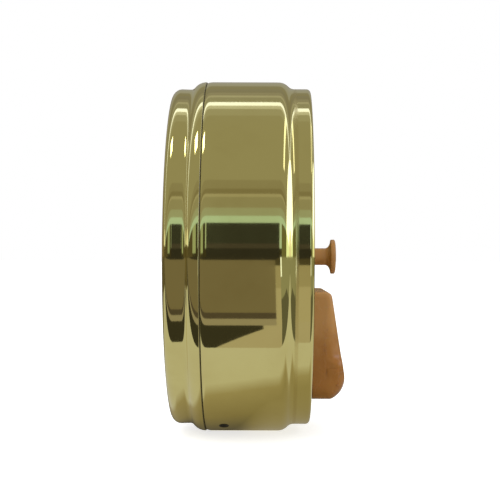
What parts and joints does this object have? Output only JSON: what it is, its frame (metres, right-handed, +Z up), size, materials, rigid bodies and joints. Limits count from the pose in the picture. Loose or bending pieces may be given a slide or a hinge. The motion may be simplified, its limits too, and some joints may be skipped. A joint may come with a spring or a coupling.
{
  "type": "desk clock",
  "caption": "Round polished brass drum desk clock lying on its rim, with a battery movement, a spool-shaped setting knob and a wedge battery box at the back.",
  "frame": {"origin": "under the middle of the clock's box, on the surface that it stands on", "axes": "+Z up, -Y the way the dial faces, +Y to the back along the clock's axis, +X towards 3 o'clock"},
  "size_m": [0.1206, 0.058, 0.1206],
  "materials": {
    "polished_brass": "mirror polished",
    "satin_brass": "satin",
    "steel": "plain",
    "magnet_steel": "dark",
    "tan_plastic": "satin amber",
    "white_plastic": "moulded",
    "chip_black": "cast resin",
    "black_paint": "gloss",
    "foot_rubber": "matte",
    "glass": "clear",
    "dial_ivory": "matt lacquer",
    "board_green": "board lacquer",
    "coil_copper": "enamelled wire",
    "cell_jacket": "plain foil jacket"
  },
  "bodies": {
    "case": {"case_drum": "polished_brass", "foot_left": "foot_rubber", "foot_right": "foot_rubber", "bezel_ring": "polished_brass", "crystal_glass": "glass", "glass_retaining_ring": "satin_brass", "dial": "dial_ivory", "dial_spacer": "steel", "centre_bush": "satin_brass", "dial_washer": "steel", "centre_nut": "satin_brass", "movement_cover": "tan_plastic", "train_bridge": "satin_brass", "stator": "steel", "coil_core": "steel", "coil": "coil_copper", "circuit_board": "board_green", "quartz_can": "steel", "driver_chip": "chip_black", "battery": "cell_jacket", "battery_contact_plus": "steel", "battery_contact_minus": "steel", "movement_tray": "white_plastic", "back_plate": "satin_brass", "back_screw_1": "steel", "back_screw_2": "steel", "back_screw_3": "steel", "back_screw_4": "steel", "cover_screw_1": "steel", "cover_screw_2": "steel", "cover_screw_3": "steel", "cover_screw_4": "steel", "bridge_screw_1": "steel", "bridge_screw_2": "steel", "bridge_screw_3": "steel", "stator_screw_1": "steel", "stator_screw_2": "steel"},
    "minute_works": {"centre_arbor": "steel", "setting_knob": "tan_plastic", "minute_hand": "black_paint", "hand_cap": "satin_brass", "friction_spring": "steel"},
    "hour_works": {"hour_wheel": "white_plastic", "hour_hand": "black_paint"},
    "minute_wheel_body": {"minute_wheel": "white_plastic"},
    "centre_wheel_body": {"centre_wheel": "satin_brass"},
    "third_wheel_body": {"third_wheel": "white_plastic"},
    "seconds_wheel_body": {"seconds_wheel": "white_plastic"},
    "intermediate_wheel_body": {"intermediate_wheel": "white_plastic"},
    "rotor_body": {"rotor": "magnet_steel"},
    "battery_door": {"battery_cover": "tan_plastic"}
  },
  "joints": [
    {"name": "minute_turn", "type": "hinge", "parent": "case", "child": "minute_works", "pos_m": [0, 0, 0.06031], "axis": [0, 1, 0], "continuous": true},
    {"name": "hour_turn", "type": "hinge", "parent": "case", "child": "hour_works", "pos_m": [0, 0, 0.06031], "axis": [0, 1, 0], "continuous": true},
    {"name": "minute_wheel_turn", "type": "hinge", "parent": "case", "child": "minute_wheel_body", "pos_m": [0, 0, 0.06839], "axis": [0, 1, 0], "continuous": true},
    {"name": "seconds_turn", "type": "hinge", "parent": "case", "child": "seconds_wheel_body", "pos_m": [0.01513, 0, 0.05214], "axis": [0, 1, 0], "continuous": true},
    {"name": "third_turn", "type": "hinge", "parent": "case", "child": "third_wheel_body", "pos_m": [0.01207, 0, 0.06355], "axis": [0, 1, 0], "continuous": true},
    {"name": "centre_wheel_turn", "type": "hinge", "parent": "case", "child": "centre_wheel_body", "pos_m": [0, 0, 0.06031], "axis": [0, 1, 0], "continuous": true},
    {"name": "intermediate_turn", "type": "hinge", "parent": "case", "child": "intermediate_wheel_body", "pos_m": [0.00598, 0, 0.04881], "axis": [0, 1, 0], "continuous": true},
    {"name": "rotor_turn", "type": "hinge", "parent": "case", "child": "rotor_body", "pos_m": [0.0006, 0, 0.04241], "axis": [0, 1, 0], "continuous": true},
    {"name": "battery_cover_slide", "type": "slide", "parent": "case", "child": "battery_door", "axis": [0, 1, 0], "range_m": [0, 0.015]}
  ],
  "couplings": [
    {"joint": "hour_turn", "follows": "minute_turn", "ratio": 0.083333},
    {"joint": "minute_wheel_turn", "follows": "minute_turn", "ratio": -0.33333},
    {"joint": "third_turn", "follows": "seconds_turn", "ratio": -0.13333},
    {"joint": "centre_wheel_turn", "follows": "seconds_turn", "ratio": 0.016667},
    {"joint": "intermediate_turn", "follows": "seconds_turn", "ratio": -6},
    {"joint": "rotor_turn", "follows": "seconds_turn", "ratio": 30}
  ]
}
